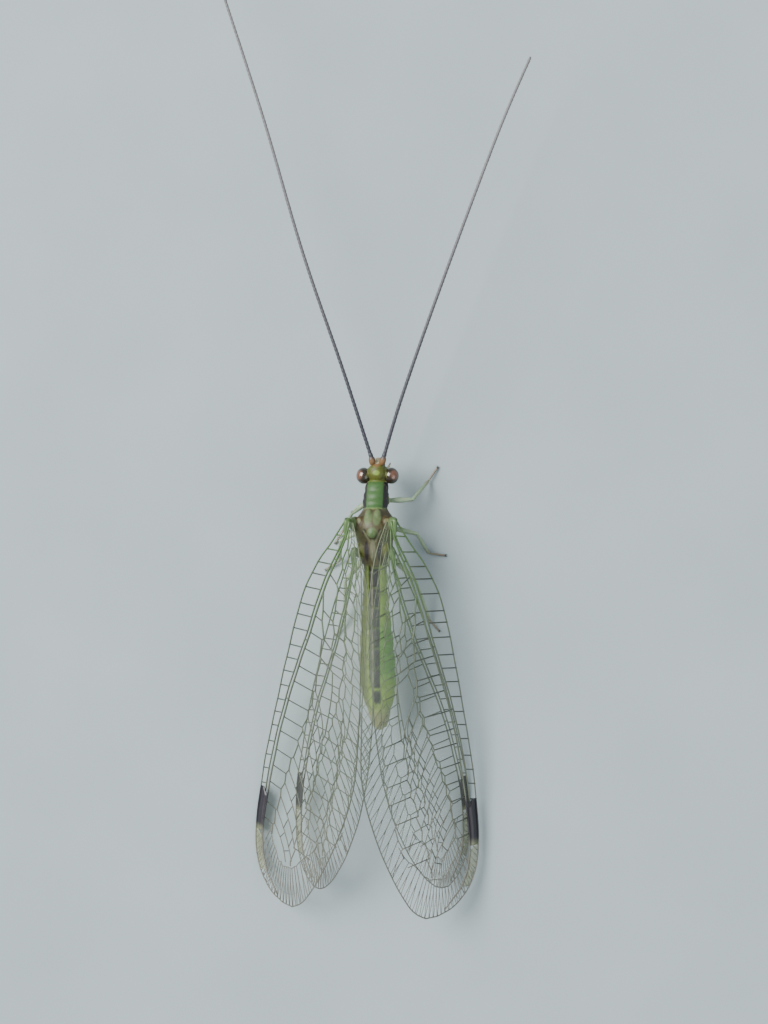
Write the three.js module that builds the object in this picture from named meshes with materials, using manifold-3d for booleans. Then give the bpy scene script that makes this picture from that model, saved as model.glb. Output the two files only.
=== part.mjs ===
// A green lacewing at rest, life size: long antennae held forward, six slender legs, and two pairs
// of net-veined wings folded as a low roof over the abdomen, their costal edges on the floor.
// Millimetres, +Z up, head towards -Y, the insect's left towards +X, feet on the floor at z = 0.
import * as THREE from "three";
import { mergeVertices } from "three/addons/utils/BufferGeometryUtils.js";
import Module from "manifold-3d";

const wasm = await Module();
wasm.setup();

// Driving dimensions
const GAP = 0.3;
const BODY_ROUND = 16;
const FINEST_EDGE = 0.012;
const HEAD = { x: -0.04, y: -2.5, z: 2.2, width: 1.25, length: 1.0, height: 1.15 };
const EYE = { radius: 0.37, out: 0.65, y: -2.32, z: 2.28 };
const ANTENNA = { base: 0.3, tip: 0.16, sides: 8, steps: 24 };
const NECK_Y = -2.12;
const WAIST_Y = [-0.75, 0.78, 1.86];
const ABDOMEN_END = 9.6;
const ABDOMEN_RINGS = 8;
const BELLY = { waist: 0.58, rise: 0.3, span: 1.32, taper: 1.984, taperFrom: 0.74, tip: 0.24, groove: 0.045 };
const LEG = { coxa: 0.3, femur: 0.27, tibia: 0.25, tarsus: 0.25, sides: 6 };
const FOREWING = { length: 18.75, layer: 0, rows: 24 };
const HINDWING = { length: 16.3, layer: -0.8, rows: 18 };
const WING_THICKNESS = 0.5;
const VEIN_RISE = 0.13;
const VEIN_WIDTH = 0.3;
const VEIN_SHARE = [0.045, 0.02];
const WING_CAMBER = 0.012;
const RIDGE_HEIGHT = 5.0;

// Each side of the roof: tilt down from the ridge in degrees, and fall per millimetre of length
const ROOF = {
  left: { sign: 1, tilt: 36, droop: 0.012 },
  right: { sign: -1, tilt: 38, droop: 0.04 },
};

// Wing outlines as [distance from the root, offset across], costal edge and hind edge
const FORE_COSTAL = [[0, 0.12], [1, 0.7], [2.2, 1.5], [3.6, 2.13], [5.5, 2.55], [8, 2.87], [11, 3.2],
  [13.5, 3.35], [15.3, 3.3], [16.6, 3.1], [17.5, 2.65], [18.1, 2.05], [18.5, 1.4], [18.75, 0.5]];
const FORE_HIND = [[0, 0.45], [1.2, 1.05], [2.6, 1.5], [4.5, 1.9], [7, 2.3], [9.5, 2.65], [11.8, 2.84],
  [13.6, 2.62], [15.4, 2.12], [17, 1.48], [18, 0.95], [18.45, 0.55], [18.75, 0.05]];
const HIND_COSTAL = [[0, 0.15], [1, 0.45], [3, 1.0], [6, 1.62], [9, 2.02], [12, 2.18], [14, 1.88],
  [15.2, 1.4], [15.9, 0.85], [16.3, 0.25]];
const HIND_HIND = [[0, 0.4], [2, 1.3], [4, 1.9], [7, 2.3], [10, 2.42], [12, 2.25], [14, 1.75],
  [15.4, 1.1], [16.1, 0.5], [16.3, 0.1]];

const look = (color, roughness = 0.5) => new THREE.MeshStandardMaterial({ color, roughness, metalness: 0 });
const GREEN = look(0x8fc23a);
const SEA_GREEN = look(0x6fbf7a);
const OLIVE = look(0x9a9a4a);
const AMBER = look(0xb9a23a);
const EYE_BROWN = look(0x8a5a4a, 0.2);
const DARK = look(0x2e2a30);
const PALE = look(0xb9cbb4);
const CLEAR = look(0xbfcabb, 0.25);

// Turns a closed geometry into a solid for joining and cutting
function solidOf(geometry) {
  const bare = geometry.clone();
  bare.deleteAttribute("normal");
  bare.deleteAttribute("uv");
  const merged = mergeVertices(bare, 1e-5);
  return new wasm.Manifold(new wasm.Mesh({
    numProp: 3,
    vertProperties: new Float32Array(merged.attributes.position.array),
    triVerts: new Uint32Array(merged.index.array),
  }));
}

// A closed surface through rings of points, every ring with the same count, flat at both ends
function loftGeometry(rings) {
  const count = rings[0].length;
  const positions = rings.flat().flatMap((p) => [p.x, p.y, p.z]);
  const index = [];
  for (let r = 0; r + 1 < rings.length; r++) {
    for (let k = 0; k < count; k++) {
      const a = r * count + k;
      const b = r * count + ((k + 1) % count);
      index.push(a, b, a + count, b, b + count, a + count);
    }
  }
  const last = (rings.length - 1) * count;
  for (let k = 1; k + 1 < count; k++) {
    index.push(0, k + 1, k);
    index.push(last, last + k, last + k + 1);
  }
  const geometry = new THREE.BufferGeometry();
  geometry.setAttribute("position", new THREE.Float32BufferAttribute(positions, 3));
  geometry.setIndex(index);
  return geometry;
}

// A body segment: elliptical sections at [y, centre x, centre z, half width, half height], joined
// by smooth curves; grow swells it all round, for cutting its neighbours clear
function segment(stations, steps, grow = 0) {
  const path = new THREE.CatmullRomCurve3(stations.map(([y, x, z]) => new THREE.Vector3(x, y, z)));
  const sizes = new THREE.CatmullRomCurve3(
    stations.map(([, , , w, h]) => new THREE.Vector3(w, h, 0)));
  const rings = [];
  for (let i = 0; i <= steps; i++) {
    const centre = path.getPoint(i / steps);
    const size = sizes.getPoint(i / steps);
    const ring = [];
    for (let k = 0; k < BODY_ROUND; k++) {
      const angle = (2 * Math.PI * k) / BODY_ROUND;
      const shift = i === 0 ? -grow : i === steps ? grow : 0;
      ring.push(new THREE.Vector3(
        centre.x + (size.x + grow) * Math.cos(angle),
        centre.y + shift,
        centre.z - (size.y + grow) * Math.sin(angle),
      ));
    }
    rings.push(ring);
  }
  return solidOf(loftGeometry(rings));
}

// A ball or egg
function egg(x, y, z, rx, ry, rz, round = 14) {
  const geometry = new THREE.SphereGeometry(1, round, Math.round(round * 0.65));
  geometry.scale(rx, ry, rz);
  geometry.translate(x, y, z);
  return solidOf(geometry);
}

// A tapered round rod along a smooth path, with a radius at each of its points
function rod(points, radii, sides, steps) {
  const path = new THREE.CatmullRomCurve3(points.map((p) => new THREE.Vector3(...p)), false, "centripetal");
  const frames = path.computeFrenetFrames(steps, false);
  const rings = [];
  for (let i = 0; i <= steps; i++) {
    const t = i / steps;
    const centre = path.getPointAt(t);
    const at = t * (radii.length - 1);
    const below = Math.min(Math.floor(at), radii.length - 2);
    const radius = THREE.MathUtils.lerp(radii[below], radii[below + 1], at - below);
    const ring = [];
    for (let k = 0; k < sides; k++) {
      const angle = (2 * Math.PI * k) / sides;
      ring.push(centre.clone()
        .addScaledVector(frames.normals[i], radius * Math.cos(angle))
        .addScaledVector(frames.binormals[i], radius * Math.sin(angle)));
    }
    rings.push(ring);
  }
  return solidOf(loftGeometry(rings));
}

// Straight tapered limb piece with rounded joints at both ends
function limb(points, radii) {
  let whole = null;
  for (let i = 0; i + 1 < points.length; i++) {
    const piece = rod([points[i], points[i + 1]], [radii[i], radii[i + 1]], LEG.sides, 1);
    const knee = egg(...points[i + 1], radii[i + 1], radii[i + 1], radii[i + 1], LEG.sides);
    whole = whole ? whole.add(piece).add(knee) : piece.add(knee);
  }
  return whole;
}

// Everything below the floor is trimmed off, which leaves the flats that the insect rests on
const floorBox = new THREE.BoxGeometry(80, 80, 10);
floorBox.translate(0, 0, -5);
const belowFloor = solidOf(floorBox);

const group = new THREE.Group();
function addPart(name, solid, material) {
  const largest = solid.simplify(FINEST_EDGE).decompose().reduce((a, b) => (b.volume() > a.volume() ? b : a));
  const mesh = largest.getMesh();
  const geometry = new THREE.BufferGeometry();
  geometry.setAttribute("position", new THREE.Float32BufferAttribute(mesh.vertProperties, 3));
  geometry.setIndex(Array.from(mesh.triVerts));
  geometry.computeVertexNormals();
  const part = new THREE.Mesh(geometry, material);
  part.name = name;
  group.add(part);
}

// Thorax and abdomen: four lengths of one trunk, face to face across narrow gaps
const half = GAP / 2;
const prothorax = (grow) => segment([
  [NECK_Y + 0.1, -0.04, 2.3, 0.42, 0.4],
  [NECK_Y + 0.25, -0.03, 2.34, 0.56, 0.5],
  [-1.6, -0.02, 2.45, 0.6, 0.52],
  [-1.2, 0, 2.55, 0.65, 0.58],
  [WAIST_Y[0] - half, 0, 2.66, 0.58, 0.6],
], 12, grow);
// Rounded knobs on both sides that the wing roots are set against
const shoulders = (x, y, z, radius) =>
  egg(x, y, z, radius, radius, radius, 12).add(egg(-x, y, z, radius, radius, radius, 12));
const mesothorax = (grow) => segment([
  [WAIST_Y[0] + half, 0, 2.75, 0.62, 0.66],
  [-0.35, 0, 2.85, 0.9, 0.92],
  [0.1, 0, 2.92, 1.02, 1.04],
  [WAIST_Y[1] - half, 0, 2.85, 0.88, 0.9],
], 8, grow).add(shoulders(0.9, -0.05, 3.5, 0.3 + grow));
const metathorax = (grow) => segment([
  [WAIST_Y[1] + half, 0, 2.8, 0.86, 0.82],
  [1.3, 0, 2.75, 0.84, 0.8],
  [WAIST_Y[2] - half, 0, 2.68, 0.62, 0.6],
], 5, grow).add(shoulders(0.72, 1.3, 3.02, 0.26 + grow));

// The abdomen swells towards two thirds of its length, with a shallow groove between its rings
function abdomenStations() {
  const start = WAIST_Y[2] + half;
  const span = ABDOMEN_END - start;
  const stations = [];
  const perRing = 4;
  for (let i = 0; i <= ABDOMEN_RINGS * perRing; i++) {
    const t = i / (ABDOMEN_RINGS * perRing);
    const belly = BELLY.rise * Math.sin(Math.PI * Math.min(1, t / BELLY.span)) ** 2;
    const taper = BELLY.taper * Math.max(0, t - BELLY.taperFrom) ** 1.2;
    const swell = BELLY.waist + belly - taper;
    const groove = i % perRing === 0 && i > 0 ? BELLY.groove : 0;
    const width = Math.max(swell, BELLY.tip) - groove;
    stations.push([start + span * t, 0.02 - 0.12 * t * t, 2.62 - 0.5 * t - 0.3 * t * t, width, width * 0.95]);
  }
  return stations;
}
const abdomen = (grow) => segment(abdomenStations(), ABDOMEN_RINGS * 4, grow);

// Head: rounded capsule with a narrower face, labrum, jaws and palps in front and below
function headSolid(grow) {
  const { x, y, z, width, length, height } = HEAD;
  let skull = egg(x, y + 0.05, z, width / 2 + grow, length / 2 + grow, height / 2 + grow, 16);
  skull = skull.add(egg(x, y - 0.34, z - 0.2, 0.36 + grow, 0.34 + grow, 0.44 + grow, 12));
  if (grow > 0) return skull;
  const mouthZ = z - 0.62;
  skull = skull.add(egg(x, y - 0.42, mouthZ + 0.04, 0.22, 0.2, 0.24, 10));
  for (const side of [-1, 1]) {
    const jaw = [
      [x + side * 0.16, y - 0.25, mouthZ + 0.2],
      [x + side * 0.2, y - 0.42, mouthZ - 0.2],
      [x + side * 0.1, y - 0.58, mouthZ - 0.3],
    ];
    const palp = [
      [x + side * 0.3, y - 0.1, mouthZ + 0.25],
      [x + side * 0.44, y - 0.2, mouthZ - 0.15],
      [x + side * 0.48, y - 0.42, mouthZ - 0.38],
    ];
    skull = skull.add(limb(jaw, [0.16, 0.12, 0.08])).add(limb(palp, [0.12, 0.1, 0.07]));
  }
  return skull;
}
const eyeAt = (side, grow) =>
  egg(HEAD.x + side * EYE.out, EYE.y, EYE.z, EYE.radius + grow, EYE.radius + grow, EYE.radius + grow, 16);

// The neck joins the head to the prothorax inside the head's own solid
const nape = [HEAD.x, HEAD.y + 0.2, HEAD.z];
const neckEnd = [HEAD.x, NECK_Y + 0.1 - GAP, HEAD.z + 0.06];
const neck = rod([nape, neckEnd], [0.42, 0.36], 12, 1);
const bothEyes = eyeAt(1, GAP).add(eyeAt(-1, GAP));
addPart("head", headSolid(0).add(neck).subtract(bothEyes).subtract(prothorax(GAP)), AMBER);
for (const [name, side] of [["left", 1], ["right", -1]]) {
  addPart(`eye_${name}`, eyeAt(side, 0), EYE_BROWN);
}
addPart("prothorax", prothorax(0), SEA_GREEN);
addPart("mesothorax", mesothorax(0)
  .add(egg(0.3, -0.2, 3.62, 0.32, 0.34, 0.26))
  .add(egg(-0.3, -0.2, 3.62, 0.32, 0.34, 0.26))
  .add(egg(0, 0.36, 3.72, 0.3, 0.27, 0.26)), GREEN);
addPart("metathorax", metathorax(0).add(egg(0, 1.25, 3.42, 0.26, 0.36, 0.22)), OLIVE);
addPart("abdomen", abdomen(0), GREEN);
const trunk = [prothorax(GAP), mesothorax(GAP), metathorax(GAP), abdomen(GAP)].reduce((a, b) => a.add(b));

// Antennae: a stout scape, then a long whip of short joints that tapers to its tip
const ANTENNAE = {
  left: [[0.17, -2.9, 2.5], [0.2, -3.2, 2.6], [1.5, -7.33, 3.1], [3.29, -12.7, 3.6], [5.1, -19, 4],
    [6.93, -24.7, 4.2], [7.7, -27.2, 4.2]],
  right: [[-0.3, -2.9, 2.5], [-0.38, -3.2, 2.6], [-1.32, -6.06, 3.0], [-3.15, -11, 3.5],
    [-5.83, -17.9, 4], [-7.4, -21.6, 4.1]],
};
for (const [name, route] of Object.entries(ANTENNAE)) {
  const whip = rod(route, [ANTENNA.base, 0.27, 0.25, 0.22, 0.19, ANTENNA.tip], ANTENNA.sides, ANTENNA.steps);
  const scape = egg(route[1][0], route[1][1] + 0.12, route[1][2] - 0.02, 0.28, 0.34, 0.27, 10);
  addPart(`antenna_${name}`, whip.add(scape).subtract(headSolid(GAP)), DARK);
}

// Legs: hip, knee, ankle and toe of each, given for one side and mirrored with small changes
const LEGS = {
  foreleg_left: [[0.4, -1.15, 2.05], [1.25, -0.55, 1.75], [1.9, 0.25, 0.28], [2.3, 0.85, 0.16]],
  foreleg_right: [[-0.4, -1.15, 2.05], [-1.62, -1.2, 1.6], [-2.2, -2.1, 0.28], [-2.6, -2.7, 0.16]],
  midleg_left: [[0.5, 0.1, 1.8], [1.85, 0.75, 1.45], [2.1, 1.75, 0.28], [2.75, 2.15, 0.16]],
  midleg_right: [[-0.5, 0.1, 1.8], [-1.8, 0.42, 1.4], [-2.22, 1.36, 0.28], [-2.96, 1.46, 0.16]],
  hindleg_left: [[0.42, 1.3, 1.9], [1.65, 2.7, 1.35], [1.85, 4.7, 0.28], [2.25, 5.3, 0.16]],
  hindleg_right: [[-0.42, 1.3, 1.9], [-1.7, 2.6, 1.35], [-2.26, 4.55, 0.28], [-2.68, 5.05, 0.16]],
};
for (const [name, joints] of Object.entries(LEGS)) {
  const leg = limb(joints, [LEG.coxa, LEG.femur, LEG.tibia, LEG.tarsus]);
  addPart(name, leg.subtract(trunk).subtract(belowFloor), PALE);
}

// A smooth curve through [distance, value] pairs, read off at any distance
function readOff(pairs) {
  return (at) => {
    let k = 0;
    while (k + 2 < pairs.length && at > pairs[k + 1][0]) k++;
    const [x0, y0] = pairs[k];
    const [x1, y1] = pairs[k + 1];
    const before = pairs[Math.max(k - 1, 0)];
    const after = pairs[Math.min(k + 2, pairs.length - 1)];
    const w = (at - x0) / (x1 - x0);
    const slope0 = ((y1 - before[1]) / (x1 - before[0])) * (x1 - x0);
    const slope1 = ((after[1] - y0) / (after[0] - x0)) * (x1 - x0);
    return (2 * w ** 3 - 3 * w * w + 1) * y0 + (w ** 3 - 2 * w * w + w) * slope0
      + (3 * w * w - 2 * w ** 3) * y1 + (w ** 3 - w * w) * slope1;
  };
}

// Main veins, as the share of the wing's width from the costal edge at each share of its length
const VEINS = [
  (s) => 0.23 * (1 - s) ** 2 + 0.09,
  (s) => 0.44 - 0.12 * s,
  (s) => 0.55 + 0.06 * s,
  (s) => 0.72 + 0.1 * s,
];

// One wing: a thin plate on its side of the roof, its main veins and costal edge raised on top
function wing(roof, size, root, yaw, costal, hind, grow = 0) {
  const tilt = THREE.MathUtils.degToRad(roof.tilt);
  const turn = THREE.MathUtils.degToRad(yaw);
  const costalAt = readOff(costal);
  const hindAt = readOff(hind);
  const place = (u, v, n) => {
    const p = root[0] + u * Math.cos(turn) - v * Math.sin(turn);
    const q = root[1] + u * Math.sin(turn) + v * Math.cos(turn);
    const lift = size.layer + n - WING_CAMBER * v * v;
    return new THREE.Vector3(
      roof.sign * (q * Math.cos(tilt) + lift * Math.sin(tilt)),
      p,
      RIDGE_HEIGHT - roof.droop * p - q * Math.sin(tilt) + lift * Math.cos(tilt),
    );
  };
  const rings = [];
  for (let i = 0; i <= size.rows; i++) {
    const t = i / size.rows;
    const s = 1 - (1 - t) ** 1.5;
    const u = size.length * s;
    const front = costalAt(u) + grow;
    const width = front + hindAt(u) + grow;
    const foot = Math.min(VEIN_WIDTH / 2 / width, THREE.MathUtils.lerp(...VEIN_SHARE, s));
    const across = [[0, 1], [foot * 1.2, 0]];
    for (const vein of VEINS) {
      const at = vein(s);
      across.push([at - foot, 0], [at, 1], [at + foot, 0]);
    }
    across.push([1, 0]);
    const top = across.map(([f, up]) =>
      place(u, front - f * width, WING_THICKNESS / 2 + grow + up * VEIN_RISE));
    const under = across.map(([f]) => place(u, front - f * width, -WING_THICKNESS / 2 - grow));
    rings.push([...top, ...under.reverse()]);
  }
  if (roof.sign > 0) rings.forEach((ring) => ring.reverse());
  return solidOf(stripGeometry(rings));
}

// A thin plate from rings of paired upper and lower points, its ends closed in the same pairs
function stripGeometry(rings) {
  const geometry = loftGeometry(rings);
  const count = rings[0].length;
  const walls = (rings.length - 1) * count * 6;
  const index = Array.from(geometry.index.array).slice(0, walls);
  const last = (rings.length - 1) * count;
  for (let k = 0; k + 1 < count / 2; k++) {
    const across = count - 1 - k;
    index.push(k, across, k + 1, k + 1, across, across - 1);
    index.push(last + k, last + k + 1, last + across, last + k + 1, last + across - 1, last + across);
  }
  geometry.setIndex(index);
  return geometry;
}

const FORE_ROOT = [-0.2, 1.4];
const HIND_ROOT = [1.17, 1.75];
const WING_YAW = { foreLeft: 11.6, foreRight: 5.0, hindLeft: 8.6, hindRight: 9.7 };
const fore = (roof, yaw, grow) => wing(roof, FOREWING, FORE_ROOT, yaw, FORE_COSTAL, FORE_HIND, grow);
const hind = (roof, yaw, grow) => wing(roof, HINDWING, HIND_ROOT, yaw, HIND_COSTAL, HIND_HIND, grow);
const rightWings = [fore(ROOF.right, WING_YAW.foreRight, 0), hind(ROOF.right, WING_YAW.hindRight, 0)];
const leftWings = [fore(ROOF.left, WING_YAW.foreLeft, 0), hind(ROOF.left, WING_YAW.hindLeft, 0)];
const keepClear = trunk
  .add(fore(ROOF.right, WING_YAW.foreRight, GAP))
  .add(hind(ROOF.right, WING_YAW.hindRight, GAP));
for (const [k, name] of ["forewing", "hindwing"].entries()) {
  addPart(`${name}_right`, rightWings[k].subtract(trunk).subtract(belowFloor), CLEAR);
  addPart(`${name}_left`, leftWings[k].subtract(keepClear).subtract(belowFloor), CLEAR);
}

// The origin is the middle of the footprint, on the floor
const bounds = new THREE.Box3().setFromObject(group);
const centre = bounds.getCenter(new THREE.Vector3());
group.position.set(-centre.x, -centre.y, 0);
group.updateMatrixWorld(true);

export default group;
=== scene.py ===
import math

import bpy
import numpy as np
from mathutils import Matrix, Vector


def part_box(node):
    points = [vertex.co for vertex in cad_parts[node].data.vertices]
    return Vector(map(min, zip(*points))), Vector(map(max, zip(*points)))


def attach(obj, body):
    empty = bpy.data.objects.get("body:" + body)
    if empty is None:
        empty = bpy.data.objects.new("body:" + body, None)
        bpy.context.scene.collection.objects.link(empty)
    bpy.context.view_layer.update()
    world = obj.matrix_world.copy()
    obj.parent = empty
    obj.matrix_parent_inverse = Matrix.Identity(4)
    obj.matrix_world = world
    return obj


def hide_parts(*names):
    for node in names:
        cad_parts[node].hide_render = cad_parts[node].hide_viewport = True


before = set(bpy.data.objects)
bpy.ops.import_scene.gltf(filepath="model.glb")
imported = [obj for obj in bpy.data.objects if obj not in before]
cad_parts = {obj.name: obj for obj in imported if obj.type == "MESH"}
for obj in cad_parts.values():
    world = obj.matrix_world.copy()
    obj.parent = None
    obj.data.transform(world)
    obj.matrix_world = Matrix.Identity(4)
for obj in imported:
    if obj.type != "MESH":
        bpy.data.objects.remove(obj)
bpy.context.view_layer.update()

# Camera: straight down on the resting insect, head at the top of the picture, rolled a few
# degrees towards its right side. Lengths are in millimetres, and the model's own zero is on the
# floor under the middle of the thorax, a fixed distance behind the mesothorax's front face.
MM = 0.001
THORAX_FRONT = -0.6
IMAGE_WIDTH, IMAGE_HEIGHT = 768, 1024
MM_PER_PIXEL = 0.047
LOOK_PIXEL = (376, 525)
LOOK_HEIGHT = 2.5
CAMERA_DISTANCE = 110.0
CAMERA_ROLL = math.radians(8.0)
SENSOR = 36.0
thorax_low, thorax_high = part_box("mesothorax")
ZERO = np.array([(thorax_low.x + thorax_high.x) / 2, thorax_low.y - THORAX_FRONT * MM, 0.0])


def place(points):
    """Millimetres from the model's own zero, turned into metres in the frame."""
    return np.asarray(points, dtype=float) * MM + ZERO


camera_back = Vector((-math.sin(CAMERA_ROLL), 0, math.cos(CAMERA_ROLL)))
camera_right = Vector((-math.cos(CAMERA_ROLL), 0, -math.sin(CAMERA_ROLL)))
camera_up = camera_back.cross(camera_right)
camera_data = bpy.data.cameras.new("camera")
camera_data.sensor_width = SENSOR
camera_data.lens = SENSOR * CAMERA_DISTANCE / (IMAGE_HEIGHT * MM_PER_PIXEL)
camera_data.clip_start = 0.005
camera = bpy.data.objects.new("camera", camera_data)
bpy.context.scene.collection.objects.link(camera)
bpy.context.scene.camera = camera
aside = camera_right * ((LOOK_PIXEL[0] - IMAGE_WIDTH / 2) * MM_PER_PIXEL)
along = camera_up * ((LOOK_PIXEL[1] - IMAGE_HEIGHT / 2) * MM_PER_PIXEL)
camera_spot = Vector((0, 0, LOOK_HEIGHT)) + camera_back * CAMERA_DISTANCE - aside + along
turn = Matrix((camera_right, camera_up, camera_back)).transposed()
camera.matrix_world = Matrix.Translation(place(camera_spot)) @ turn.to_4x4()

# Floor: a plain matt sheet under the insect, pale grey with a breath of blue, with a very faint
# mottling. It is staging and not part of the model.
FLOOR_SIZE = 1.2
FLOOR_GREY = (0.3, 0.36, 0.375)
FLOOR_SHADE = (0.24, 0.295, 0.31)
FLOOR_MOTTLE = 140.0


def new_material(name, roughness=0.5):
    """A material with its nodes, its links and its one Principled shader."""
    material = bpy.data.materials.new(name)
    material.use_nodes = True
    nodes, links = material.node_tree.nodes, material.node_tree.links
    shader = nodes["Principled BSDF"]
    shader.inputs["Roughness"].default_value = roughness
    return material, nodes, links, shader


floor_paper, nodes, links, shader = new_material("floor_paper", 0.85)
floor_spot = nodes.new("ShaderNodeTexCoord")
mottle = nodes.new("ShaderNodeTexNoise")
mottle.inputs["Scale"].default_value = FLOOR_MOTTLE
mottle.inputs["Detail"].default_value = 8.0
links.new(floor_spot.outputs["Object"], mottle.inputs["Vector"])
floor_ramp = nodes.new("ShaderNodeValToRGB")
floor_ramp.color_ramp.elements[0].color = (*FLOOR_SHADE, 1)
floor_ramp.color_ramp.elements[1].color = (*FLOOR_GREY, 1)
links.new(mottle.outputs["Fac"], floor_ramp.inputs["Fac"])
links.new(floor_ramp.outputs["Color"], shader.inputs["Base Color"])
floor_mesh = bpy.data.meshes.new("floor")
reach = FLOOR_SIZE / 2
floor_mesh.from_pydata([(-reach, -reach, 0), (reach, -reach, 0), (reach, reach, 0), (-reach, reach, 0)],
                       [], [(0, 1, 2, 3)])
floor_mesh.materials.append(floor_paper)
floor = bpy.data.objects.new("floor", floor_mesh)
bpy.context.scene.collection.objects.link(floor)

# Light: a broad soft source high on the insect's left, a weaker one across from it, and a pale
# sky all round, which leave soft shadows beside the legs and wings.
LIGHTS = {
    "key": {"spot": (260, -150, 380), "size": 300, "power": 6.2, "colour": (1.0, 0.985, 0.96)},
    "fill": {"spot": (-320, 160, 300), "size": 340, "power": 0.9, "colour": (0.93, 0.97, 1.0)},
}
SKY_TINT, SKY_STRENGTH = (0.86, 0.92, 1.0), 0.55
for name, light in LIGHTS.items():
    lamp_data = bpy.data.lights.new(name, "AREA")
    lamp_data.size = light["size"] * MM
    lamp_data.energy = light["power"]
    lamp_data.color = light["colour"]
    lamp = bpy.data.objects.new(name, lamp_data)
    lamp.location = place(light["spot"])
    lamp.rotation_euler = Vector(light["spot"]).to_track_quat("Z", "Y").to_euler()
    bpy.context.scene.collection.objects.link(lamp)
sky = bpy.data.worlds.new("sky")
sky.use_nodes = True
sky_light = sky.node_tree.nodes["Background"]
sky_light.inputs["Color"].default_value = (*SKY_TINT, 1)
sky_light.inputs["Strength"].default_value = SKY_STRENGTH
bpy.context.scene.world = sky

# Body skin: one soft, waxy cuticle over head, thorax and abdomen. It is raised from smooth
# lengths and small domes that are melted into one closed surface, so that no seam shows.
SKIN_GRAIN = 0.032
NECK_Y = -2.12
HEAD_MID = (-0.04, -2.5, 2.2)
ABDOMEN_START, ABDOMEN_END = 2.0, 9.55
ABDOMEN_RINGS, RING_STEPS = 8, 8
BELLY_WAIST, BELLY_RISE, BELLY_SPAN = 0.58, 0.3, 1.32
BELLY_TAPER, TAPER_FROM, TAPER_POWER = 1.98, 0.74, 1.2
BELLY_TIP, BELLY_FLATTEN, BELLY_TRIM = 0.2, 0.95, 0.02
FOLD_DEPTH, FOLD_WIDTH = 0.05, 1.3
EYE_OUT, EYE_Y, EYE_Z, EYE_RADIUS = 0.65, -2.32, 2.28, 0.36
HIPS = {"foreleg": (0.4, -1.15, 2.12), "midleg": (0.5, 0.1, 2.0), "hindleg": (0.42, 1.3, 2.08)}


def smooth_through(points, count):
    """Points on a smooth curve through the given ones, evenly shared out between them."""
    points = np.asarray(points, dtype=float)
    at = np.linspace(0, len(points) - 1, count)
    low = np.minimum(at.astype(int), len(points) - 2)
    w = (at - low)[:, None]
    p0 = points[np.maximum(low - 1, 0)]
    p1 = points[low]
    p2 = points[low + 1]
    p3 = points[np.minimum(low + 2, len(points) - 1)]
    m1, m2 = (p2 - p0) / 2, (p3 - p1) / 2
    return ((2 * w**3 - 3 * w**2 + 1) * p1 + (w**3 - 2 * w**2 + w) * m1
            + (3 * w**2 - 2 * w**3) * p2 + (w**3 - w**2) * m2)


def stitch(rings):
    """A closed mesh through rings of points, with a flat face at each end."""
    rings = np.asarray(rings)
    turns, around = rings.shape[:2]
    faces = [(r * around + k, r * around + (k + 1) % around,
              (r + 1) * around + (k + 1) % around, (r + 1) * around + k)
             for r in range(turns - 1) for k in range(around)]
    faces.append(tuple(reversed(range(around))))
    faces.append(tuple(range((turns - 1) * around, turns * around)))
    return rings.reshape(-1, 3), faces


def heap(parts):
    """Many (points, faces) pairs as one pair."""
    points, faces, start = [], [], 0
    for some_points, some_faces in parts:
        points.append(some_points)
        faces.extend(tuple(k + start for k in face) for face in some_faces)
        start += len(some_points)
    return np.concatenate(points), faces


def body_length(stations, rings, around=40):
    """A length of body from [y, x, z, half width, half height] stations."""
    spine = smooth_through(stations, rings)
    angle = np.linspace(0, 2 * math.pi, around, endpoint=False)
    loops = [np.c_[x + w * np.cos(angle), np.full(around, y), z - h * np.sin(angle)]
             for y, x, z, w, h in spine]
    return stitch(loops)


def dome(middle, radii, tilt=0.0, around=28):
    """An egg at a place, tipped nose down about X by an angle."""
    polar = np.linspace(0.02, math.pi - 0.02, around // 2 + 1)
    angle = np.linspace(0, 2 * math.pi, around, endpoint=False)
    loops = [np.c_[radii[0] * math.sin(p) * np.cos(angle), np.full(around, -radii[1] * math.cos(p)),
                   -radii[2] * math.sin(p) * np.sin(angle)] for p in polar]
    points, faces = stitch(loops)
    spin = np.array(Matrix.Rotation(tilt, 3, "X"))
    return points @ spin.T + np.asarray(middle), faces


def mirrored(side, spot):
    """A place on one side of the head, from its place on the left."""
    return (HEAD_MID[0] + side * spot[0], spot[1], spot[2])


def abdomen_stations():
    """Rings that swell to two thirds of the length, each with a shallow fold behind it."""
    stations = []
    steps = ABDOMEN_RINGS * RING_STEPS
    for i in range(steps + 1):
        t = i / steps
        swell = BELLY_WAIST + BELLY_RISE * math.sin(math.pi * min(1, t / BELLY_SPAN)) ** 2
        swell -= BELLY_TAPER * max(0, t - TAPER_FROM) ** TAPER_POWER
        fold = FOLD_DEPTH * math.exp(-(((i % RING_STEPS) - 0.5) / FOLD_WIDTH) ** 2) if 0 < i < steps else 0
        width = max(swell, BELLY_TIP) - fold - BELLY_TRIM
        y = ABDOMEN_START + (ABDOMEN_END - ABDOMEN_START) * t
        x, z = 0.02 - 0.12 * t * t, 2.62 - 0.5 * t - 0.3 * t * t
        stations.append([y, x, z, width, width * BELLY_FLATTEN])
    return stations


def pairs(middle, radii, tilt=0.0):
    """A dome and its mirror image across the middle of the body."""
    return [dome((side * middle[0], middle[1], middle[2]), radii, tilt) for side in (1, -1)]


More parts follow.
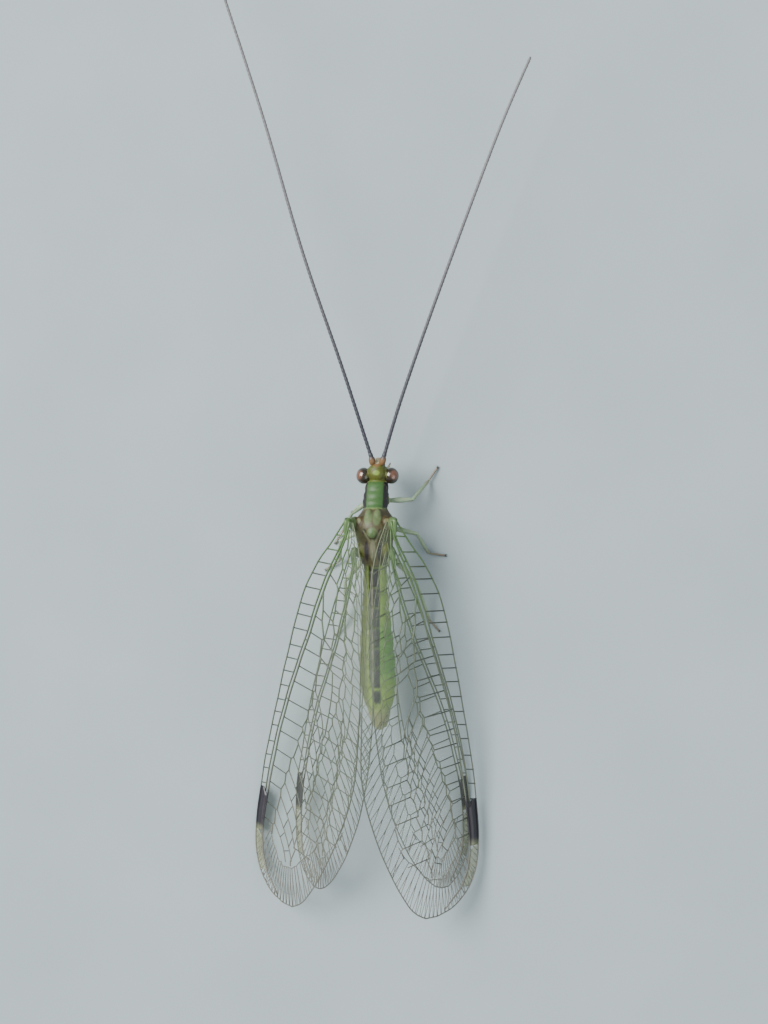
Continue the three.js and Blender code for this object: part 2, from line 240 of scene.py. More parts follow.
head_x, head_y, head_z = HEAD_MID
flesh = [
    dome((head_x, head_y + 0.05, head_z), (0.52, 0.46, 0.55)),
    dome((head_x, head_y + 0.02, head_z + 0.3), (0.4, 0.42, 0.26)),
    dome((head_x, head_y - 0.34, head_z - 0.18), (0.33, 0.32, 0.42)),
    dome((head_x, head_y - 0.5, head_z - 0.34), (0.24, 0.17, 0.24), 0.5),
    dome((head_x, head_y - 0.52, head_z - 0.6), (0.19, 0.12, 0.16), 0.5),
    dome((head_x, head_y + 0.42, head_z + 0.04), (0.4, 0.3, 0.38)),
    body_length([[NECK_Y + 0.05, head_x, 2.27, 0.36, 0.35], [NECK_Y + 0.2, -0.03, 2.33, 0.52, 0.46],
                 [NECK_Y + 0.4, -0.02, 2.4, 0.56, 0.49], [NECK_Y + 0.52, -0.02, 2.44, 0.545, 0.47],
                 [-1.42, -0.01, 2.49, 0.6, 0.53], [-1.27, 0, 2.53, 0.585, 0.51], [-1.1, 0, 2.58, 0.62, 0.56],
                 [-0.98, 0, 2.62, 0.6, 0.55], [-0.78, 0, 2.68, 0.55, 0.56]], 44),
    body_length([[-0.95, 0, 2.68, 0.48, 0.5], [-0.6, 0, 2.75, 0.66, 0.7], [-0.3, 0, 2.85, 0.88, 0.9],
                 [0.1, 0, 2.9, 1.0, 1.0], [0.45, 0, 2.86, 0.96, 0.94], [0.78, 0, 2.8, 0.84, 0.8],
                 [1.1, 0, 2.77, 0.84, 0.79], [1.45, 0, 2.74, 0.8, 0.75], [1.8, 0, 2.68, 0.6, 0.58],
                 [2.1, 0, 2.63, 0.52, 0.5]], 40),
    *pairs((0.21, -0.38, 3.46), (0.21, 0.44, 0.2), 0.5),
    *pairs((0.58, -0.02, 3.42), (0.3, 0.42, 0.3)),
    *pairs((0.86, -0.05, 3.46), (0.28, 0.36, 0.28)),
    *pairs((0.92, -0.07, 3.61), (0.23, 0.31, 0.27)),
    *pairs((0.98, -0.1, 3.76), (0.17, 0.26, 0.26)),
    dome((0, 0.36, 3.7), (0.27, 0.27, 0.24)),
    *pairs((0.5, 1.14, 3.24), (0.3, 0.38, 0.2)),
    *pairs((0.72, 1.3, 3.02), (0.23, 0.24, 0.23)),
    dome((0, 1.22, 3.36), (0.15, 0.42, 0.2)),
    body_length(abdomen_stations(), 200),
    dome((-0.1, ABDOMEN_END + 0.01, 1.9), (0.19, 0.13, 0.2)),
]
for side in (-1, 1):
    for hip in HIPS.values():
        flesh.append(dome((side * hip[0], hip[1], hip[2]), (0.22, 0.26, 0.3), -0.3))
    flesh.append(dome(mirrored(side, (0.15, head_y - 0.36, head_z + 0.26)), (0.13, 0.13, 0.12)))
    flesh.append(dome(mirrored(side, (0.5, EYE_Y, EYE_Z)), (0.14, 0.33, 0.33)))

points, faces = heap(flesh)
clay_mesh = bpy.data.meshes.new("flesh_clay")
clay_mesh.from_pydata(points.tolist(), [], faces)
clay = bpy.data.objects.new("flesh_clay", clay_mesh)
bpy.context.scene.collection.objects.link(clay)
melt = clay.modifiers.new("melt", "REMESH")
melt.mode = "VOXEL"
melt.voxel_size = SKIN_GRAIN
ease = clay.modifiers.new("ease", "SMOOTH")
ease.factor = 0.5
ease.iterations = 4
depsgraph = bpy.context.evaluated_depsgraph_get()
body_mesh = bpy.data.meshes.new_from_object(clay.evaluated_get(depsgraph))
bpy.data.objects.remove(clay)
body_points = np.zeros(len(body_mesh.vertices) * 3)
body_mesh.vertices.foreach_get("co", body_points)
body_points = body_points.reshape(-1, 3)

# Body markings: sea-green shield with two dark side bars, pale lobes and rusty patches on the
# thorax, and a long dark stripe down the back of a yellow-green abdomen, all in the cuticle.
# The abdomen's upper left side is also darkened to olive, which is painted shade.
LEAF = (0.17, 0.27, 0.04)
VIVID = (0.085, 0.23, 0.026)
SEA_GREEN = (0.037, 0.092, 0.024)
BELLY = (0.28, 0.36, 0.14)
# Olive that darkens the upper left side of the abdomen: painted shade, not a marking
SHADE_OLIVE = (0.07, 0.08, 0.03)
BROWN_OLIVE = (0.06, 0.054, 0.024)
YELLOW_GREEN = (0.06, 0.07, 0.008)
ORANGE = (0.14, 0.075, 0.028)
CREAM = (0.4, 0.36, 0.22)
PALE_LOBE = (0.08, 0.115, 0.045)
RUST = (0.04, 0.028, 0.008)
SOOT = (0.014, 0.012, 0.012)
PLUM = (0.014, 0.011, 0.016)
STEM = (0.11, 0.115, 0.065)
ROOT_GREEN = (0.075, 0.125, 0.045)
HIP_GREEN = (0.2, 0.27, 0.14)
TAN = (0.18, 0.19, 0.09)
# Patches on each side of the thorax, and along its middle: place, reach, strength and colour
SIDE_PATCHES = [
    ((0.62, -0.3, 3.4), (0.36, 0.42, 0.6), 1.0, RUST),
    ((0.66, -0.2, 3.6), (0.12, 0.12, 0.4), 0.5, TAN),
    ((1.0, -0.05, 3.8), (0.26, 0.45, 0.8), 0.9, ROOT_GREEN),
    ((0.66, 0.4, 3.2), (0.3, 0.4, 0.5), 0.6, YELLOW_GREEN),
    ((0.21, -0.4, 3.7), (0.2, 0.44, 0.5), 1.0, PALE_LOBE),
    ((0.38, 0.3, 3.6), (0.1, 0.15, 0.5), 1.0, SOOT),
    ((0.66, 1.2, 3.2), (0.26, 0.4, 0.5), 1.0, YELLOW_GREEN),
    ((0.3, 1.2, 3.4), (0.11, 0.5, 0.6), 1.0, SOOT),
    *(((x, y, z - 0.15), (0.3, 0.35, 0.3), 0.9, HIP_GREEN) for x, y, z in HIPS.values()),
]
MIDDLE_PATCHES = [
    ((0, 0.36, 3.9), (0.25, 0.27, 0.45), 1.0, PALE_LOBE),
    ((0, 0.36, 4.0), (0.1, 0.16, 0.3), 0.6, SEA_GREEN),
    ((0, 1.2, 3.5), (0.13, 0.62, 0.5), 1.0, STEM),
]
SHIELD_FRONT, SHIELD_BACK = -2.12, -0.72
STRIPE_SIDE, STRIPE_HALF = -0.09, 0.2
STRIPE_GAP, GAP_WIDTH = 7.72, 0.06


def soft_step(value, low, high):
    """From 0 at low to 1 at high, also where high is the smaller, with rounded ends."""
    t = np.clip((value - low) / (high - low), 0, 1)
    return t * t * (3 - 2 * t)


def spot_mask(points, middle, radii):
    """1 inside an egg-shaped patch and 0 outside it, with a soft edge."""
    far = np.sqrt((((points - np.asarray(middle)) / np.asarray(radii)) ** 2).sum(1))
    return soft_step(far, 1.15, 0.8)


def blend_in(tint, mask, colour):
    """Paints a colour over a tint where the mask is 1."""
    tint += mask[:, None] * (np.asarray(colour) - tint)


def body_tint(points):
    """The body's markings, from the abdomen forwards to the head, with a painted shade on the abdomen's left
    side.
    """
    x, y, z = points.T
    tint = np.tile(np.array(LEAF), (len(points), 1))
    blend_in(tint, soft_step(x, 0.1, -0.45) * soft_step(y, 4.0, 5.3) * soft_step(y, 7.9, 6.7), VIVID)
    # Painted shade: the upper left side of the abdomen is darkened to olive
    blend_in(tint, soft_step(x, 0.2, 0.42) * soft_step(z, 1.9, 2.4) * 0.85, SHADE_OLIVE)
    blend_in(tint, soft_step(y, 8.2, 9.2), TAN)
    blend_in(tint, soft_step(z, 2.2, 1.6) * soft_step(y, 1.5, 2.5) * 0.8, BELLY)
    along = soft_step(y, 1.7, 1.95) * soft_step(y, 8.5, 8.3) * soft_step(z, 2.35, 2.6)
    side_line = soft_step(np.abs(x - 0.2), 0.1, 0.04) * soft_step(y, 8.0, 7.0)
    blend_in(tint, along * side_line, SOOT)
    stripe = soft_step(np.abs(x - STRIPE_SIDE), STRIPE_HALF - 0.03 * soft_step(y, 6.5, 8.3), 0.14)
    stripe *= 1 - 0.9 * np.exp(-(((y - STRIPE_GAP) / GAP_WIDTH) ** 2))
    ring = (y - ABDOMEN_START) * ABDOMEN_RINGS / (ABDOMEN_END - ABDOMEN_START)
    seam = np.exp(-(((ring - np.round(ring)) / GAP_WIDTH) ** 2))
    blend_in(tint, along * stripe * (1 - 0.3 * seam), PLUM)
    blend_in(tint, along * soft_step(np.abs(x - 0.1), 0.04, 0.015), STEM)
    thorax = soft_step(y, 2.0, 1.8) * soft_step(y, -0.98, -0.7)
    blend_in(tint, thorax, BROWN_OLIVE)
    blend_in(tint, thorax * soft_step(z, 2.6, 1.9), BELLY)
    for side in (-1, 1):
        for (across, y_mid, z_mid), radii, strength, colour in SIDE_PATCHES:
            blend_in(tint, spot_mask(points, (side * across, y_mid, z_mid), radii) * strength, colour)
        arm = np.abs(x - side * (0.14 + 0.55 * (0.75 - y)))
        arm_span = soft_step(y, 0.15, 0.3) * soft_step(y, 0.85, 0.75)
        blend_in(tint, soft_step(arm, 0.07, 0.03) * arm_span, STEM)
    for middle, radii, strength, colour in MIDDLE_PATCHES:
        blend_in(tint, spot_mask(points, middle, radii) * strength, colour)
    shield = soft_step(y, SHIELD_BACK, -0.85) * soft_step(y, SHIELD_FRONT, -2.0)
    blend_in(tint, shield, BELLY)
    blend_in(tint, shield * soft_step(z, 2.3, 2.55), SEA_GREEN)
    bar = soft_step(np.abs(x), 0.36, 0.42) * soft_step(z, 2.15, 2.35)
    blend_in(tint, shield * bar, SOOT)
    head = soft_step(y, -1.98, -2.1)
    blend_in(tint, head, YELLOW_GREEN)
    blend_in(tint, head * spot_mask(points, (head_x, -2.45, 2.9), (0.2, 0.14, 0.3)) * 0.7, LEAF)
    blend_in(tint, head * soft_step(y + 0.5 * np.abs(x - head_x), -2.62, -2.8), ORANGE)
    blend_in(tint, head * spot_mask(points, (head_x, -3.02, 2.3), (0.15, 0.26, 0.35)), CREAM)
    blend_in(tint, head * soft_step(z, 1.95, 1.6), CREAM)
    for side in (-1, 1):
        cheek = mirrored(side, (0.36, -2.75, 1.95))
        blend_in(tint, head * spot_mask(points, cheek, (0.12, 0.2, 0.3)) * 0.9, SOOT)
    return np.clip(tint, 0, 1)


def add_tint(mesh, tint):
    """Stores a painted tint on a mesh, a colour to each point."""
    layer = mesh.color_attributes.new("tint", "FLOAT_COLOR", "POINT")
    layer.data.foreach_set("color", np.c_[tint, np.ones(len(tint))].ravel())


def finish_piece(name, mesh, material):
    """Gives a mesh its smooth shading, material and place on the body."""
    mesh.name = name
    mesh.materials.clear()
    mesh.materials.append(material)
    mesh.polygons.foreach_set("use_smooth", np.ones(len(mesh.polygons), dtype=bool))
    mesh.update()
    piece = bpy.data.objects.new(name, mesh)
    bpy.context.scene.collection.objects.link(piece)
    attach(piece, "root")
    return piece


def new_group(name, inputs, output, kind):
    """A shader node group with number inputs {name: value} and one output of a socket kind."""
    group = bpy.data.node_groups.new(name, "ShaderNodeTree")
    for label, value in inputs.items():
        socket = group.interface.new_socket(name=label, in_out="INPUT", socket_type="NodeSocketFloat")
        socket.default_value = value
    group.interface.new_socket(name=output, in_out="OUTPUT", socket_type=kind)
    return group, group.nodes.new("NodeGroupInput"), group.nodes.new("NodeGroupOutput")


def grain_in(group, given, detail):
    """Noise fixed to the object, with as many cells to the metre as the group is given."""
    where = group.nodes.new("ShaderNodeTexCoord")
    noise = group.nodes.new("ShaderNodeTexNoise")
    noise.inputs["Detail"].default_value = detail
    group.links.new(where.outputs["Object"], noise.inputs["Vector"])
    group.links.new(given.outputs["Cells"], noise.inputs["Scale"])
    return noise


def mottled_tint():
    """A group that gives the piece's painted tint, lightened and darkened by fine noise."""
    settings = {"Cells": 6000.0, "Amount": 0.2}
    group, given, result = new_group("mottled_tint", settings, "Color", "NodeSocketColor")
    noise = grain_in(group, given, 3.0)
    tint = group.nodes.new("ShaderNodeAttribute")
    tint.attribute_name = "tint"
    centred = group.nodes.new("ShaderNodeMath")
    centred.operation = "SUBTRACT"
    centred.inputs[1].default_value = 0.5
    spread = group.nodes.new("ShaderNodeMath")
    spread.operation = "MULTIPLY_ADD"
    spread.inputs[2].default_value = 1.0
    shaded = group.nodes.new("ShaderNodeVectorMath")
    shaded.operation = "SCALE"
    group.links.new(noise.outputs["Fac"], centred.inputs[0])
    group.links.new(centred.outputs["Value"], spread.inputs[0])
    group.links.new(given.outputs["Amount"], spread.inputs[1])
    group.links.new(tint.outputs["Color"], shaded.inputs[0])
    group.links.new(spread.outputs["Value"], shaded.inputs["Scale"])
    group.links.new(shaded.outputs["Vector"], result.inputs["Color"])
    return group


def fine_relief():
    """A group that gives a surface normal roughened by fine noise, its depth in metres."""
    settings = {"Cells": 22000.0, "Strength": 0.35, "Depth": 0.00002}
    group, given, result = new_group("fine_relief", settings, "Normal", "NodeSocketVector")
    noise = grain_in(group, given, 5.0)
    bump = group.nodes.new("ShaderNodeBump")
    group.links.new(noise.outputs["Fac"], bump.inputs["Height"])
    group.links.new(given.outputs["Strength"], bump.inputs["Strength"])
    group.links.new(given.outputs["Depth"], bump.inputs["Distance"])
    group.links.new(bump.outputs["Normal"], result.inputs["Normal"])
    return group


TINT_GROUP = mottled_tint()
RELIEF_GROUP = fine_relief()


def use_group(nodes, links, group, socket, **settings):
    """Feeds a group's output to a shader socket, with the group's inputs set."""
    node = nodes.new("ShaderNodeGroup")
    node.node_tree = group
    for label, value in settings.items():
        node.inputs[label].default_value = value
    links.new(node.outputs[0], socket)


cuticle, nodes, links, shader = new_material("waxy_cuticle", 0.5)
shader.inputs["Subsurface Weight"].default_value = 0.1
shader.inputs["Subsurface Scale"].default_value = 0.0002
shader.inputs["Specular IOR Level"].default_value = 0.35
use_group(nodes, links, TINT_GROUP, shader.inputs["Base Color"], Cells=6000.0, Amount=0.45)
use_group(nodes, links, RELIEF_GROUP, shader.inputs["Normal"], Cells=22000.0, Strength=0.35, Depth=0.00002)
add_tint(body_mesh, body_tint(body_points))
body_mesh.vertices.foreach_set("co", place(body_points).ravel())
body = finish_piece("body_skin", body_mesh, cuticle)
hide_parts("head", "prothorax", "mesothorax", "metathorax", "abdomen")

# Body bristles: short fine hairs over head, thorax and abdomen, each a three-sided spike rooted
# in the skin and swept back, pale on the belly and dark on the back.
HAIR_COUNT, HAIR_LENGTH, HAIR_THICK = 1500, 0.12, 0.006
HAIR_PALE, HAIR_DARK = (0.3, 0.3, 0.18), (0.05, 0.045, 0.03)
HAIR_SWEEP, HAIR_STRAY = (0, 0.8, 0), 0.15
SPIKE_CORNERS = (0, 2.09, 4.19)


def build_mesh(points, faces, tint):
    """A mesh at its place in the frame, from points in millimetres and their tint."""
    mesh = bpy.data.meshes.new("piece")
    mesh.from_pydata(place(points).tolist(), [], faces)
    add_tint(mesh, tint)
    return mesh


def spike(root, tip, thick):
    """A three-sided bristle."""
    root, tip = np.asarray(root), np.asarray(tip)
    ahead = tip - root
    side = np.cross(ahead, (0.3, 0.2, 0.93))
    side /= np.linalg.norm(side)
    lift = np.cross(side, ahead / np.linalg.norm(ahead))
    foot = [root + thick * (math.cos(a) * side + math.sin(a) * lift) for a in SPIKE_CORNERS]
    return np.array([*foot, tip]), [(0, 1, 3), (1, 2, 3), (2, 0, 3), (0, 2, 1)]


hair_shell, nodes, links, shader = new_material("bristle", 0.5)
use_group(nodes, links, TINT_GROUP, shader.inputs["Base Color"], Cells=9000.0, Amount=0.2)
rng = np.random.default_rng(5)
normals = np.zeros(len(body_mesh.vertices) * 3)
body_mesh.vertices.foreach_get("normal", normals)
normals = normals.reshape(-1, 3)
rooted = rng.choice(len(body_points), HAIR_COUNT, replace=False)
hairs = []
for root, out in zip(body_points[rooted], normals[rooted]):
    lean = out + np.array(HAIR_SWEEP) + rng.normal(0, HAIR_STRAY, 3)
    reach = HAIR_LENGTH * rng.uniform(0.6, 1.1) / np.linalg.norm(lean)
    hairs.append(spike(root - out * HAIR_THICK, root + lean * reach, HAIR_THICK))
points, faces = heap(hairs)
tint = np.tile(np.array(HAIR_PALE), (len(points), 1))
blend_in(tint, soft_step(points[:, 2], 2.4, 2.9), HAIR_DARK)
finish_piece("body_bristles", build_mesh(points, faces, tint), hair_shell)

# Eyes: two glossy, nearly round compound eyes set in the sides of the head, their facets a fine
# honeycomb, with a metallic sheen. Their coppery brown is painted as a cap on the side that faces
# up and out, a painted reflection laid over the eye's own colour, and the dark rim round it is
# partly painted shade.
# Eye colours: a coppery cap, partly painted reflection, and a dark rim, partly painted shade
COPPER_AND_REFLECTION = (0.13, 0.06, 0.036)
EYE_RIM_AND_SHADE = (0.022, 0.017, 0.01)
FACETS_PER_METRE = 26000.0
eye_shell, nodes, links, shader = new_material("faceted_eye", 0.2)
shader.inputs["Coat Weight"].default_value = 0.6
shader.inputs["Coat Roughness"].default_value = 0.08
shader.inputs["Metallic"].default_value = 0.25
use_group(nodes, links, TINT_GROUP, shader.inputs["Base Color"], Cells=9000.0, Amount=0.3)
where = nodes.new("ShaderNodeTexCoord")
facets = nodes.new("ShaderNodeTexVoronoi")
facets.inputs["Scale"].default_value = FACETS_PER_METRE
facet_bump = nodes.new("ShaderNodeBump")
facet_bump.invert = True
facet_bump.inputs["Strength"].default_value = 0.3
facet_bump.inputs["Distance"].default_value = 0.00001
links.new(where.outputs["Object"], facets.inputs["Vector"])
links.new(facets.outputs["Distance"], facet_bump.inputs["Height"])
links.new(facet_bump.outputs["Normal"], shader.inputs["Normal"])
for name, side in (("left", 1), ("right", -1)):
    middle = mirrored(side, (EYE_OUT, EYE_Y, EYE_Z))
    points, faces = dome(middle, (EYE_RADIUS, EYE_RADIUS + 0.03, EYE_RADIUS), 0.0, 64)
    # Painted reflection and shade: coppery on the side facing up and out, dark towards the rim
    facing = (points - np.asarray(middle)) @ np.array([side * 0.6, -0.1, 0.79]) / EYE_RADIUS
    tint = np.tile(np.array(EYE_RIM_AND_SHADE), (len(points), 1))
    blend_in(tint, soft_step(facing, 0.72, 0.93), COPPER_AND_REFLECTION)
    eye = finish_piece(f"compound_eye_{name}", build_mesh(points, faces, tint), eye_shell)
    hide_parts(f"eye_{name}")

# Mouthparts: a cream lip over a pair of brown-tipped jaws, with a jointed palp on each side, all
# small smooth rods let into the underside of the face.
LIP = {"middle": (HEAD_MID[0], -3.02, 1.66), "radii": (0.17, 0.1, 0.13)}
JAW = {"route": [(0.14, -2.76, 1.78), (0.17, -2.9, 1.5), (0.07, -3.02, 1.36)], "radii": [0.1, 0.08, 0.025]}
PALP = {"route": [(0.28, -2.62, 1.82), (0.36, -2.68, 1.6), (0.42, -2.78, 1.42), (0.46, -2.93, 1.24)],
        "radii": [0.07, 0.055, 0.06, 0.03]}
mouth_shell, nodes, links, shader = new_material("mouth_cuticle", 0.38)
use_group(nodes, links, TINT_GROUP, shader.inputs["Base Color"], Cells=9000.0, Amount=0.3)
use_group(nodes, links, RELIEF_GROUP, shader.inputs["Normal"], Cells=30000.0, Strength=0.25, Depth=0.00001)


def evenly(route, step):
    """A smooth route through the points, in equal steps of about the given length."""
    fine = smooth_through(route, 60 * len(route))
    run = np.r_[0, np.cumsum(np.linalg.norm(np.diff(fine, axis=0), axis=1))]
    wanted = np.linspace(0, run[-1], max(2, int(run[-1] / step)) + 1)
    return np.c_[[np.interp(wanted, run, fine[:, k]) for k in range(3)]].T


def tube(path, radii, around=8, above=(0, 0, 1)):
    """A closed round tube along a path with a radius at each point."""
    path = np.asarray(path, dtype=float)
    ahead = np.gradient(path, axis=0)
    ahead /= np.linalg.norm(ahead, axis=1)[:, None]
    across = np.cross(ahead, np.asarray(above, dtype=float))
    across /= np.maximum(np.linalg.norm(across, axis=1), 1e-9)[:, None]
    lift = np.cross(across, ahead)
    angle = np.linspace(0, 2 * math.pi, around, endpoint=False)
    radii = np.broadcast_to(radii, (len(path),))
    turned = np.stack([np.cos(angle), np.sin(angle)])[:, None, :, None]
    ring = turned[0] * across[:, None] + turned[1] * lift[:, None]
    return stitch(path[:, None] + ring * radii[:, None, None])


parts = [dome(LIP["middle"], LIP["radii"], 0.4)]
for side in (-1, 1):
    for rod in (JAW, PALP):
        line = evenly([mirrored(side, spot) for spot in rod["route"]], 0.02)
        share = np.linspace(0, 1, len(line))
        known = np.linspace(0, 1, len(rod["radii"]))
        parts.append(tube(line, np.interp(share, known, rod["radii"]), 12))
points, faces = heap(parts)
tint = np.tile(np.array(CREAM), (len(points), 1))
blend_in(tint, soft_step(points[:, 2], 1.5, 1.3), ORANGE)
mouth = finish_piece("mouthparts", build_mesh(points, faces, tint), mouth_shell)
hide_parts("head")

# Antennae: a stout amber scape and pedicel, then a whip of over a hundred short dark joints that
# fade to grey-brown towards the tip, each with a ring of fine bristles.
WHIP_BASE, WHIP_TIP = 0.09, 0.06
JOINT_LENGTH, WHIP_REACH = 0.21, 22
WHIP_DARK = (0.02, 0.02, 0.03)
WHIP_PALE = (0.11, 0.105, 0.11)
BEAD = (0.86, 1.0, 1.05, 1.02)
SCAPE_SHARES = (0, 0.25, 0.5, 0.62, 0.68, 0.8, 1)
SCAPE_RADII = (0.12, 0.16, 0.15, 0.11, 0.1, 0.115, 0.085)
WHIP_BRISTLE, WHIP_BRISTLE_OUT, WHIP_BRISTLE_THICK = 0.1, 0.55, 0.006
BRISTLES_ROUND = np.arange(3) * 2.09
ANTENNAE = {
    "left": [(0.17, -2.86, 2.5), (0.19, -3.14, 2.62), (1.5, -7.33, 3.1), (3.29, -12.7, 3.6), (5.1, -19, 4),
             (6.93, -24.7, 4.2), (7.7, -27.1, 4.2)],
    "right": [(-0.27, -2.86, 2.5), (-0.37, -3.14, 2.62), (-1.32, -6.06, 3.0), (-3.15, -11, 3.5),
              (-5.83, -17.9, 4), (-7.4, -21.5, 4.1)],
}
whip_shell, nodes, links, shader = new_material("antenna_cuticle", 0.5)
use_group(nodes, links, TINT_GROUP, shader.inputs["Base Color"], Cells=5000.0, Amount=0.4)
rng = np.random.default_rng(7)
for name, route in ANTENNAE.items():
    line = evenly(route[1:], JOINT_LENGTH / len(BEAD))
    share = np.linspace(0, 1, len(line))
    bead = np.array(BEAD)[np.arange(len(line)) % len(BEAD)]
    thick = (WHIP_BASE + (WHIP_TIP - WHIP_BASE) * share**0.8) * bead
    thick[-2:] *= (0.8, 0.4)
    parts = [tube(line, thick, 10)]
    scape = evenly([route[0], route[1], line[5]], 0.03)
    swell = np.interp(np.linspace(0, 1, len(scape)), SCAPE_SHARES, SCAPE_RADII)
    parts.append(tube(scape, swell, 16))
    for k in range(6, len(line) - 1, 2):
        ahead = line[k + 1] - line[k - 1]
        ahead /= np.linalg.norm(ahead)
        for angle in rng.uniform(0, 2 * math.pi) + BRISTLES_ROUND:
            out = np.cross(ahead, (math.cos(angle), 0.1, math.sin(angle)))
            out /= np.linalg.norm(out)
            root = line[k] + out * thick[k] * 0.8
            tip = root + out * WHIP_BRISTLE * WHIP_BRISTLE_OUT + ahead * WHIP_BRISTLE
            parts.append(spike(root, tip, WHIP_BRISTLE_THICK))
    points, faces = heap(parts)
    along = (route[1][1] - points[:, 1]) / WHIP_REACH
    tint = np.tile(np.array(WHIP_DARK), (len(points), 1))
    blend_in(tint, soft_step(along, 0.02, 0.75), WHIP_PALE)
    blend_in(tint, soft_step(along, 0.004, -0.006), ORANGE)
    whip = finish_piece(f"jointed_antenna_{name}", build_mesh(points, faces, tint), whip_shell)
    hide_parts(f"antenna_{name}")

# Legs: six slender, glassy pale green legs with short bristles, ending in five small brownish
# foot joints, a pair of dark claws and a pad between them, flat on the floor.
GLASS_GREEN = (0.21, 0.29, 0.18)
FOOT_TAN = (0.16, 0.14, 0.1)
CLAW = (0.04, 0.03, 0.025)
# Leg joints: shares of the length, and the radius at each
LEG_SHAPES = {
    "hip": ([0, 0.5, 1], [0.2, 0.2, 0.12]),
    "thigh": ([0, 0.08, 0.4, 0.85, 1], [0.09, 0.11, 0.135, 0.1, 0.075]),
    "shin": ([0, 0.1, 0.5, 0.95, 1], [0.07, 0.08, 0.095, 0.075, 0.06]),
    "foot": ([0, 0.2, 0.85, 1], [0.035, 0.045, 0.058, 0.04]),
}
HIP_SHARE, KNEE_RADIUS = 0.14, 0.085
FOOT_JOINTS = 5
CLAW_SPREAD, CLAW_DROP = 0.05, 0.055
SPINE_THICK, SPINE_OUT, SPINE_ALONG = 0.006, 0.07, 0.09
SPINE_STEP, FOOT_SPINE_STEP = 0.045, 0.09
SPINES_FROM, SPINES_TO, SPINES_ROUND = 0.06, 0.97, 3
THIGH_THICK, SHIN_THICK, FOOT_THICK = 0.12, 0.08, 0.05
SPINE_CLEAR, CLAW_CLEAR = 0.02, 0.002
LEGS = {
    "foreleg_left": [(0.4, -1.15, 2.05), (1.25, -0.55, 1.75), (1.9, 0.25, 0.24), (2.3, 0.85, 0.1)],
    "foreleg_right": [(-0.4, -1.15, 2.05), (-1.62, -1.2, 1.6), (-2.2, -2.1, 0.24), (-2.6, -2.7, 0.1)],
    "midleg_left": [(0.5, 0.1, 1.8), (1.85, 0.75, 1.45), (2.1, 1.75, 0.24), (2.75, 2.15, 0.1)],
    "midleg_right": [(-0.5, 0.1, 1.8), (-1.8, 0.42, 1.4), (-2.22, 1.36, 0.24), (-2.96, 1.46, 0.1)],
    "hindleg_left": [(0.42, 1.3, 1.9), (1.65, 2.7, 1.35), (1.85, 4.7, 0.24), (2.25, 5.3, 0.1)],
    "hindleg_right": [(-0.42, 1.3, 1.9), (-1.7, 2.6, 1.35), (-2.26, 4.55, 0.24), (-2.68, 5.05, 0.1)],
}
leg_shell, nodes, links, shader = new_material("leg_cuticle", 0.35)
shader.inputs["Subsurface Weight"].default_value = 0.2
shader.inputs["Subsurface Scale"].default_value = 0.0002
use_group(nodes, links, TINT_GROUP, shader.inputs["Base Color"], Cells=7000.0, Amount=0.3)
use_group(nodes, links, RELIEF_GROUP, shader.inputs["Normal"], Cells=26000.0, Strength=0.25, Depth=0.00001)


def shank(start, end, shares, radii, around=12):
    """A straight limb joint with the radius given at each of some shares of its length."""
    t = np.linspace(0, 1, 24)
    path = np.asarray(start) + t[:, None] * (np.asarray(end) - np.asarray(start))
    return tube(path, np.interp(t, shares, radii), around, (0.3, 0.9, 0.1))


for name, (hip, knee, ankle, toe) in LEGS.items():
    hip, knee, ankle, toe = (np.array(p) for p in (hip, knee, ankle, toe))
    hip_end = hip + (knee - hip) * HIP_SHARE
    parts = [
        shank(hip - (knee - hip) * 0.08, hip_end, *LEG_SHAPES["hip"]),
        shank(hip_end, knee, *LEG_SHAPES["thigh"]),
        dome(knee, (KNEE_RADIUS, KNEE_RADIUS, KNEE_RADIUS)),
        shank(knee, ankle, *LEG_SHAPES["shin"]),
    ]
    foot = np.linspace(0, 1, FOOT_JOINTS + 1)
    for k in range(FOOT_JOINTS):
        start, end = ankle + (toe - ankle) * foot[k], ankle + (toe - ankle) * (foot[k + 1] + 0.01)
        parts.append(shank(start, end, *LEG_SHAPES["foot"], 10))
    hide_points, hide_faces = heap(parts)
    from_toe = np.linalg.norm(hide_points - toe, axis=1)
    tint = np.tile(np.array(GLASS_GREEN), (len(hide_points), 1))
    blend_in(tint, soft_step(from_toe, 1.3, 0.4), FOOT_TAN)
    ahead = (toe - ankle) / np.linalg.norm(toe - ankle)
    sideways = np.cross(ahead, (0, 0, 1))
    claws = [dome(toe + ahead * 0.04 - (0, 0, 0.02), (0.05, 0.06, 0.035))]
    for side in (-1, 1):
        spread = sideways * side * CLAW_SPREAD
        bend = [toe, toe + ahead * 0.08 + spread, toe + ahead * 0.13 + spread - (0, 0, CLAW_DROP)]
        hook = evenly(bend, 0.02)
        claws.append(tube(hook, np.linspace(0.02, 0.006, len(hook))))
    spiny = [(hip_end, knee, THIGH_THICK, SPINE_STEP), (knee, ankle, SHIN_THICK, SPINE_STEP),
             (ankle, toe, FOOT_THICK, FOOT_SPINE_STEP)]
    for start, end, thick, step in spiny:
        run = end - start
        heading = run / np.linalg.norm(run)
        for t in np.arange(SPINES_FROM, SPINES_TO, step):
            for angle in rng.uniform(0, 2 * math.pi, SPINES_ROUND):
                out = np.cross(heading, (math.cos(angle), math.sin(angle), 0.4))
                out /= np.linalg.norm(out)
                root = start + run * t + out * thick * 0.75
                tip = root + out * SPINE_OUT + heading * SPINE_ALONG
                if tip[2] > SPINE_CLEAR:
                    claws.append(spike(root, tip, SPINE_THICK))
    claw_points, claw_faces = heap(claws)
    claw_points[:, 2] = np.maximum(claw_points[:, 2], CLAW_CLEAR)
    points, faces = heap([(hide_points, hide_faces), (claw_points, claw_faces)])
    tint = np.concatenate([tint, np.tile(np.array(CLAW), (len(claw_points), 1))])
    leg = finish_piece(f"jointed_{name}", build_mesh(points, faces, tint), leg_shell)
    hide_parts(name)

